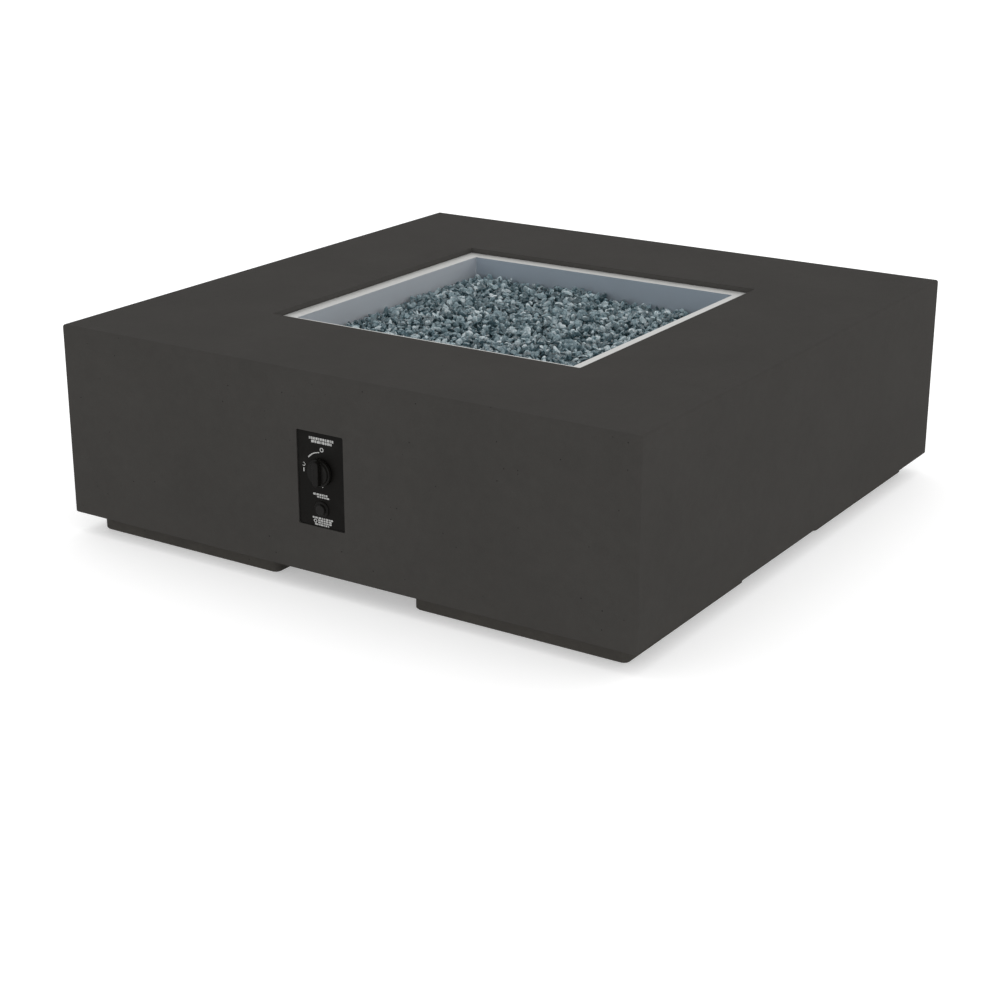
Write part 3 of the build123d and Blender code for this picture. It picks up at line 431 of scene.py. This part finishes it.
tints = {
    "deep": tinted_glass("deep_glass", (0.035, 0.074, 0.090), (0.15, 0.235, 0.27)),
    "middle": tinted_glass("middle_glass", (0.12, 0.20, 0.235), (0.35, 0.47, 0.51)),
    "pale": tinted_glass("pale_glass", (0.36, 0.48, 0.52), (0.72, 0.80, 0.83)),
}
layers = [layer(0.0150, 0.0075), layer(0.0128, 0.0)]
places = np.concatenate([places for places, _ in layers])
sizes = np.concatenate([size for _, size in layers])
shapes, chip_faces = chip_shapes(24)
spun = turns(len(sizes))
kinds = rng.integers(0, len(shapes), len(sizes))
tint_of = rng.choice(3, len(sizes), p=(0.42, 0.40, 0.18))
for number, (tint, material) in enumerate(tints.items()):
    chosen = np.flatnonzero(tint_of == number)
    points = np.concatenate([shapes[kinds[i]] @ spun[i].T * sizes[i] + places[i] for i in chosen])
    start = np.repeat(np.arange(len(chosen)) * len(shapes[0]), len(chip_faces))[:, None]
    faces = np.tile(chip_faces, (len(chosen), 1)) + start
    chips = mesh_piece(f"fire_glass_{tint}", points.tolist(), faces.tolist(), material)
    chips.data.set_sharp_from_angle(angle=math.radians(24))
    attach(chips, "fire_table")
    if tint == "deep":
        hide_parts("glass_bed")

# Bed under the loose surface: the same glass, packed tight enough by its own weight to read as one
# lumpy layer between the chips. The burner and the pilot hood stand clear below it.
bed_step = 0.012
bed_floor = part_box("pilot_hood")[1].z + 0.0025
bed_lines = np.arange(-glass_reach, glass_reach + 1e-6, 2 * glass_reach / round(2 * glass_reach / bed_step))
bed_x, bed_y = (a.ravel() for a in np.meshgrid(bed_lines, bed_lines))
bed_top = heap(bed_x, bed_y) - 0.0125 + rng.uniform(-0.0015, 0.0015, bed_x.size)
bed_low = np.minimum(bed_floor, bed_top - 0.003)
bed_count = len(bed_lines)


def grid_quads(offset, flip):
    """Quads over the bed's square grid of points, facing up, or down where told."""
    quads = []
    for row in range(bed_count - 1):
        for column in range(bed_count - 1):
            a = offset + row * bed_count + column
            quad = (a, a + 1, a + bed_count + 1, a + bed_count)
            quads.append(quad[::-1] if flip else quad)
    return quads


def edge_quads(below):
    """Quads that close the bed's edge; a point of the lower grid is this many after the one above."""
    last = bed_count - 1
    front = list(range(bed_count))
    right = [row * bed_count + last for row in range(1, bed_count)]
    back = [last * bed_count + column for column in range(last - 1, -1, -1)]
    left = [row * bed_count for row in range(last - 1, 0, -1)]
    ring = front + right + back + left
    return [(a, a + below, b + below, b) for a, b in zip(ring, ring[1:] + ring[:1])]


bed_points = np.concatenate([np.stack([bed_x, bed_y, z], 1) for z in (bed_top, bed_low)])
bed_faces = grid_quads(0, False) + grid_quads(bed_x.size, True) + edge_quads(bed_x.size)
packed_glass = mesh_piece("fire_glass_bed", bed_points.tolist(), bed_faces, tints["deep"])
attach(packed_glass, "fire_table")


# Burner: a square ring of stainless tube with a feed bar, welded up and drilled with gas ports along
# its top. It rests on four stainless saddle blocks. Flame has coloured it straw and blue.
def heated_steel(name, rough):
    """Stainless tube or sheet that flame has coloured in straw and blue bands."""
    mix = Finish(name, Metallic=1.0)
    drift = mix.place.noise(17.0, 4.0, 0.6)
    straw = drift.step(0.38, 0.60).blend((0.50, 0.49, 0.47), (0.44, 0.38, 0.28))
    mix.vary("Base Color", drift.step(0.56, 0.76).blend(straw, (0.24, 0.25, 0.31)))
    mix.vary("Roughness", rough + 0.2 * mix.place.noise(300.0, 3.0))
    mix.bump(mix.place.noise(1800.0, 2.0), 0.00002)
    return mix.material


dress(heated_steel("burner_steel", 0.26), "burner_ring", "burner_stands")

# Pilot: a stainless hood with air holes in its top, screwed to the pan's floor. It shelters the
# thermocouple's probe and a spark electrode in a glazed ceramic sleeve.
dress(heated_steel("pilot_steel", 0.34), "pilot_hood", "electrode_rod", "thermocouple_probe")


def glazed_ceramic(name, colour):
    """White alumina with a thin glaze, lightly sooted."""
    mix = Finish(name, Coat_Weight=0.4, Coat_Roughness=0.1)
    soot = mix.place.noise(140.0, 4.0, 0.7).step(0.45, 0.75)
    mix.vary("Base Color", (soot * 0.5).blend(colour, (0.20, 0.18, 0.16)))
    mix.vary("Roughness", 0.35 + 0.25 * soot)
    return mix.material


dress(glazed_ceramic("electrode_ceramic", (0.80, 0.79, 0.75)), "electrode_insulator")


# Brass fittings: the nipple's two lock nuts and its elbow, the mixer's jet, the hose's nuts, the
# valve's fittings, and the threaded inserts in the ledges. All are machined and left bare.
def turned_metal(name, colour, rough, ring_pitch=0.0006, stain=0.0):
    """Turned or drawn metal: fine tool lines, and patches where it has dulled."""
    mix = Finish(name, Metallic=1.0)
    tool = mix.place.node(
        "ShaderNodeTexWave", {"Vector": mix.place, "Scale": 0.16 / ring_pitch, "Distortion": 0.6},
        1, wave_type="RINGS", rings_direction="SPHERICAL")
    dull = mix.place.noise(70.0, 4.0, 0.65).step(0.42, 0.72)
    mix.vary("Base Color", (dull * stain).blend(colour, tuple(c * 0.45 for c in colour)))
    mix.vary("Roughness", rough + 0.08 * tool + 0.22 * dull)
    mix.bump(tool, 0.00001)
    return mix.material


brass = turned_metal("machined_brass", (0.70, 0.50, 0.23), 0.22, stain=0.6)
dress(brass, "nipple_top_nut", "nipple_bottom_nut", "inlet_elbow", "gas_jet", "connector_nuts",
      "gas_inlet_fitting", "gas_outlet_fitting", "foot_inserts")


# Plated steel: the burner's nipple, the air mixer, the valve's bracket, the panel's clamp bars with
# their studs and nuts, and the screws and bolts. All are zinc plated and lightly passivated.
def zinc_plate(name):
    """Bright zinc with its faint blue and yellow passivation, spangled and slightly chalky."""
    mix = Finish(name, Metallic=1.0)
    drift = mix.place.noise(38.0, 3.0, 0.6)
    spangle = mix.place.node("ShaderNodeTexVoronoi", {"Vector": mix.place, "Scale": 420.0}, "Color")
    grain = spangle.axis("X")
    mix.vary("Base Color", drift.step(0.35, 0.65).blend((0.52, 0.56, 0.60), (0.60, 0.58, 0.48)))
    mix.vary("Roughness", 0.28 + 0.14 * grain + 0.12 * drift)
    mix.bump(grain, 0.00001)
    return mix.material


dress(zinc_plate("zinc_plate"), "burner_nipple", "air_mixer", "shutter_screw", "valve_bracket",
      "valve_screws", "knob_screw", "panel_clamps", "panel_studs", "panel_nuts", "pilot_screws",
      "pilot_screw_nuts", "foot_bolts")

# Air shutter: a stainless sleeve with four windows, turned on the mixer by hand to set the flame's
# air. A thumb screw clamps it.
dress(turned_metal("shutter_steel", (0.56, 0.57, 0.58), 0.26, 0.0009, 0.3), "air_shutter")


# Gas valve: a die-cast body on a bracket behind the panel, with a brass plunger and stem. The magnet
# unit at its back keeps the gas on while the thermocouple is hot.
def die_cast(name, colour):
    """Die-cast alloy as it leaves the mould: dull, slightly orange-peeled, with flow marks."""
    mix = Finish(name, Metallic=0.85)
    peel = mix.place.noise(650.0, 3.0, 0.6)
    flow = mix.place.noise(34.0, 5.0, 0.7)
    mix.vary("Base Color", flow.step(0.3, 0.75).blend(tuple(c * 0.7 for c in colour), colour))
    mix.vary("Roughness", 0.42 + 0.18 * flow + 0.10 * peel)
    mix.bump(peel, 0.00008)
    return mix.material


dress(die_cast("valve_alloy", (0.52, 0.53, 0.54)), "valve_body")
dress(brass, "magnet_unit", "valve_plunger", "valve_stem")

# Springs: wire coils with closed ends, one behind the valve's plunger that pushes the knob out, and
# one between the igniter's button and its cell.
spring_wire = turned_metal("spring_wire", (0.42, 0.43, 0.45), 0.24, 0.0004)


def tube_points(line, radii, sides):
    """Rings of points round a line of points, each turned least from the one before it."""
    line = [Vector(p) for p in line]
    ahead = (line[1] - line[0]).normalized()
    side = ahead.orthogonal().normalized()
    points = []
    for i, centre in enumerate(line):
        new = (line[min(i + 1, len(line) - 1)] - line[max(i - 1, 0)]).normalized()
        side = (side - new * side.dot(new)).normalized()
        other = new.cross(side)
        for k in range(sides):
            turn = 2 * math.pi * k / sides
            points.append(centre + (side * math.cos(turn) + other * math.sin(turn)) * radii[i])
    return points


def tube_faces(rings, sides):
    """Quads along a tube, with a face at each end."""
    quads = [
        (r * sides + k, r * sides + (k + 1) % sides, (r + 1) * sides + (k + 1) % sides, (r + 1) * sides + k)
        for r in range(rings - 1) for k in range(sides)]
    return quads + [tuple(range(sides))[::-1], tuple(range((rings - 1) * sides, rings * sides))]


def coil_spring(name, node, wire, open_turns):
    """A compression spring along Y that fills its node's box, with a closed turn at each end."""
    low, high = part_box(node)
    middle = (low + high) / 2
    radius = (high.x - low.x) / 2 - wire
    length = high.y - low.y
    turn_steps = 28
    line = []
    for step in range((open_turns + 2) * turn_steps + 1):
        turn = step / turn_steps
        open_part = min(max(turn - 1.0, 0.0), open_turns)
        rise = wire + 2 * wire * (turn - open_part) + (length - 6 * wire) * open_part / open_turns
        angle = 2 * math.pi * turn
        line.append((middle.x + radius * math.cos(angle), low.y + rise, middle.z + radius * math.sin(angle)))
    points = tube_points(line, [wire] * len(line), 10)
    spring = mesh_piece(name, points, tube_faces(len(line), 10), spring_wire)
    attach(spring, "fire_table")
    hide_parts(node)
    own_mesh(spring)


coil_spring("valve_return_spring", "valve_spring", 0.00045, 3)
coil_spring("igniter_return_spring", "igniter_spring", 0.0004, 2)

# Flexible connector: corrugated stainless hose from the valve's outlet to the air mixer, with a
# brass flare nut at each end. It hangs in one easy S-shaped bend behind the panel.
hose_radius = 0.0079
hose_route = [
    (-0.063, -0.554, 0.230), (-0.105, -0.554, 0.230), (-0.137, -0.514, 0.227), (-0.137, -0.456, 0.222),
    (-0.115, -0.394, 0.220), (-0.074, -0.338, 0.224), (-0.030, -0.292, 0.232), (0.0, -0.236, 0.238),
    (0.0, -0.137, 0.238),
]


def smooth_line(name, route, steps):
    """Points along a NURBS line that a hose's route guides."""
    curve = bpy.data.curves.new(name, "CURVE")
    curve.dimensions = "3D"
    spline = curve.splines.new("NURBS")
    spline.points.add(len(route) - 1)
    for point, place in zip(spline.points, route):
        point.co = (*place, 1.0)
    spline.order_u = 3
    spline.use_endpoint_u = True
    spline.resolution_u = steps
    shape = bpy.data.objects.new(name, curve)
    mesh = bpy.data.meshes.new_from_object(shape)
    line = [v.co.copy() for v in mesh.vertices]
    bpy.data.objects.remove(shape)
    bpy.data.meshes.remove(mesh)
    return line


def even_points(line, pitch):
    """The same line with its points an even pitch apart."""
    reach = np.concatenate([[0.0], np.cumsum([(b - a).length for a, b in zip(line, line[1:])])])
    count = round(reach[-1] / pitch)
    wanted = np.linspace(0.0, reach[-1], count + 1)
    return np.stack([np.interp(wanted, reach, [p[k] for p in line]) for k in range(3)], 1)


rib_pitch = 0.0030
rib_depth = 0.0013
steps_to_rib = 6
hose_line = even_points(smooth_line("hose_line", hose_route, 40), rib_pitch / steps_to_rib)
hose_radii = [hose_radius - rib_depth * (0.5 + 0.5 * math.cos(2 * math.pi * i / steps_to_rib)) ** 1.5
              for i in range(len(hose_line))]
hose = mesh_piece("gas_hose", tube_points(hose_line, hose_radii, 24), tube_faces(len(hose_line), 24),
                  turned_metal("hose_steel", (0.60, 0.60, 0.59), 0.20, 0.0008, 0.25))
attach(hose, "fire_table")
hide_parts("flex_connector")


# Thermocouple lead: a bare copper tube with a wire inside it, drawn and bent by hand, from the pilot
# to the magnet unit.
def drawn_copper(name):
    """Copper tube, bright where it was bent and browned elsewhere."""
    mix = Finish(name, Metallic=1.0)
    brown = mix.place.noise(28.0, 4.0, 0.6).step(0.4, 0.7)
    mix.vary("Base Color", brown.blend((0.70, 0.34, 0.20), (0.26, 0.12, 0.07)))
    mix.vary("Roughness", 0.24 + 0.25 * brown)
    return mix.material


dress(drawn_copper("capillary_copper"), "thermocouple_lead")


# Spark lead: a stranded wire from the igniter to the electrode, in a woven glass sheath soaked in
# red silicone.
def woven_sheath(name, colour):
    """Braided glass sleeve soaked in silicone: two sets of fine crossing strands."""
    mix = Finish(name, Specular_IOR_Level=0.35, Sheen_Weight=0.2)
    strands = [mix.place.node("ShaderNodeTexWave", {"Vector": mix.place.stretch(*way), "Scale": 1.0}, 1,
                              bands_direction="DIAGONAL") for way in ((260, 260, 260), (260, -260, 260))]
    braid = strands[0] * strands[1]
    # Darker between the strands: painted shade in the gaps of the weave.
    mix.vary("Base Color", braid.step(0.1, 0.6).blend(tuple(c * 0.45 for c in colour), colour))
    mix.vary("Roughness", 0.75 - 0.2 * braid)
    mix.bump(braid, 0.0001)
    return mix.material


dress(woven_sheath("spark_sheath", (0.40, 0.05, 0.035)), "ignition_lead")


# Control panel: steel plate, powder coated black, in a shallow seat in the casting. Studs welded to
# its back take two clamp bars behind the wall.
def powder_coat(name, colour):
    """Satin black powder coat with its fine orange peel, rubbed a little along the way hands go."""
    mix = Finish(name, Specular_IOR_Level=0.05)
    peel = mix.place.noise(1100.0, 2.0, 0.5)
    rubbed = mix.place.noise(24.0, 4.0, 0.6).step(0.5, 0.8)
    mix.vary("Base Color", rubbed.blend(colour, tuple(c * 1.5 for c in colour)))
    mix.vary("Roughness", 0.46 + 0.10 * peel - 0.08 * rubbed)
    mix.bump(peel, 0.00006)
    return mix.material


dress(powder_coat("panel_coat", (0.0060, 0.0056, 0.0050)), "control_panel")

# Printed marks: one pass of grey screen ink on the panel. Rows of dashes stand for its lettering,
# with a ring for off, a tapered arc to follow, and a flame-like hook over a bar for on.
panel_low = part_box("control_panel")[0]
knob_low, knob_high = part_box("control_knob")
button_low, button_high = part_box("igniter_button")
knob_x, knob_z = (knob_low.x + knob_high.x) / 2, (knob_low.z + knob_high.z) / 2
button_z = (button_low.z + button_high.z) / 2
ink_front = panel_low.y - 0.00012
ink_depth = 0.0001
ink = Finish("print_ink", Specular_IOR_Level=0.3)
ink_wear = ink.place.noise(420.0, 4.0, 0.7)
ink.vary("Base Color", ink_wear.step(0.30, 0.62).blend((0.20, 0.20, 0.195), (0.44, 0.44, 0.43)))
ink.vary("Roughness", 0.55 + 0.2 * ink_wear)


def dash(x, z, width, height):
    """Outline of one printed dash with rounded corners, centred on a point of the panel."""
    corner = 0.0006
    outline = []
    for side_x, side_z, first in ((1, 1, 0), (-1, 1, 90), (-1, -1, 180), (1, -1, 270)):
        for step in range(4):
            turn = math.radians(first + 30 * step)
            outline.append((x + side_x * (width / 2 - corner) + corner * math.cos(turn),
                            z + side_z * (height / 2 - corner) + corner * math.sin(turn)))
    return outline


def arc_band(x, z, radius, first, last, width, taper=1.0):
    """Outline of a curved line round a point, in degrees from +X, thinner by taper at its last end."""
    steps = max(6, int(abs(last - first) / 6))
    outside, inside = [], []
    for step in range(steps + 1):
        turn = math.radians(first + (last - first) * step / steps)
        half = width / 2 * (1 + (taper - 1) * step / steps)
        outside.append((x + (radius + half) * math.cos(turn), z + (radius + half) * math.sin(turn)))
        inside.append((x + (radius - half) * math.cos(turn), z + (radius - half) * math.sin(turn)))
    return outside + inside[::-1]


def dash_row(left, right, z, height, seed):
    """A row of dashes of uneven length, from left to right."""
    lengths = np.random.default_rng(seed).uniform(0.0022, 0.0062, 40)
    gap = 0.0012
    marks, x = [], left
    for length in lengths:
        if x + length > right:
            break
        marks.append(dash(x + length / 2, z, length, height))
        x += length + gap
    return marks


def printed(name, outlines):
    """Thin raised marks on the panel's face, from outlines that run anticlockwise seen from the front."""
    points, faces = [], []
    for outline in outlines:
        front = list(range(len(points), len(points) + len(outline)))
        back = [corner + len(outline) for corner in front]
        points += [(x, ink_front, z) for x, z in outline]
        points += [(x, ink_front + ink_depth, z) for x, z in outline]
        faces += [front, back[::-1]]
        faces += [(a, a + len(outline), b + len(outline), b) for a, b in zip(front, front[1:] + front[:1])]
    mesh = bpy.data.meshes.new(name)
    mesh.from_pydata(points, [], faces)
    mesh.materials.append(ink.material)
    marks = bpy.data.objects.new(name, mesh)
    bpy.context.scene.collection.objects.link(marks)
    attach(marks, "fire_table")


label_top = knob_z + 0.0590
title = dash_row(knob_x - 0.024, knob_x + 0.031, label_top, 0.0046, 3)
title += dash_row(knob_x - 0.019, knob_x + 0.027, label_top - 0.0056, 0.0046, 4)
off_ring = arc_band(knob_x + 0.003, knob_z + 0.0405, 0.0032, 90.0, 448.0, 0.0017)
arc_to_follow = arc_band(knob_x, knob_z + 0.0005, 0.0345, 94.0, 140.0, 0.0018, 1.3)
flame_hook = arc_band(knob_x - 0.037, knob_z + 0.0085, 0.0030, -140.0, 130.0, 0.0016, 0.4)
bar_under_hook = dash(knob_x - 0.037, knob_z - 0.0015, 0.0022, 0.0075)
dot_under_knob = arc_band(knob_x + 0.0030, knob_z - 0.0268, 0.0006, 0.0, 358.0, 0.0011)
dial = [arc_to_follow, off_ring, dot_under_knob, flame_hook, bar_under_hook]
button_row = dash_row(knob_x - 0.018, knob_x + 0.015, button_z + 0.0262, 0.0036, 5)
button_row += dash_row(knob_x - 0.010, knob_x + 0.018, button_z + 0.0218, 0.0028, 6)
foot_z = panel_low.z + 0.0095
foot_label = [arc_band(knob_x - 0.0150, foot_z, 0.0028, 0.0, 358.0, 0.0018)]
for row, (start, end) in enumerate(((-0.021, 0.025), (-0.009, 0.024), (-0.009, 0.020), (-0.016, 0.016))):
    foot_label += dash_row(knob_x + start, knob_x + end, foot_z + 0.0062 - 0.0040 * row, 0.0030, 7 + row)
printed("panel_title_marks", title)
printed("panel_dial_marks", dial)
printed("panel_button_marks", button_row)
printed("panel_foot_marks", foot_label)


# Knob: moulded in black phenolic round the valve's D-shaped stem, with a raised grip across it and
# a grub screw in its side. Push and turn it to open the gas.
def moulded_black(name, colour, rough, **more):
    """Moulded black plastic with a fine spark-eroded texture and a little handling shine."""
    mix = Finish(name, **more)
    texture = mix.place.noise(1500.0, 2.0, 0.5)
    handled = mix.place.noise(60.0, 3.0, 0.6).step(0.45, 0.75)
    mix.vary("Base Color", handled.blend(colour, tuple(c * 1.35 for c in colour)))
    mix.vary("Roughness", rough + 0.10 * texture - 0.10 * handled)
    mix.bump(texture, 0.00004)
    return mix.material


dress(moulded_black("knob_phenolic", (0.0050, 0.0046, 0.0040), 0.34, Specular_IOR_Level=0.10), "control_knob")

# Igniter: a black nylon barrel through the panel, held by a nut behind it. Its button is moulded in
# the same nylon, smoother, and slides in the barrel against a spring.
dress(moulded_black("igniter_nylon", (0.006, 0.0056, 0.005), 0.44, Specular_IOR_Level=0.08),
      "igniter_body", "igniter_nut")
dress(moulded_black("button_nylon", (0.006, 0.0056, 0.005), 0.30, Specular_IOR_Level=0.12), "igniter_button")

# Cell: one AA battery inside the barrel, a steel can in a shrunk plastic wrap of two plain colours
# that meet part of the way along.
cell = Finish("cell_wrap", Metallic=0.4)
cell_scuff = cell.place.noise(90.0, 2.0)
cell.vary("Base Color", (cell.place.axis("Y") > -0.560).blend((0.03, 0.03, 0.032), (0.34, 0.22, 0.10)))
cell.vary("Roughness", 0.30 + 0.15 * cell_scuff)
dress(cell.material, "igniter_battery")
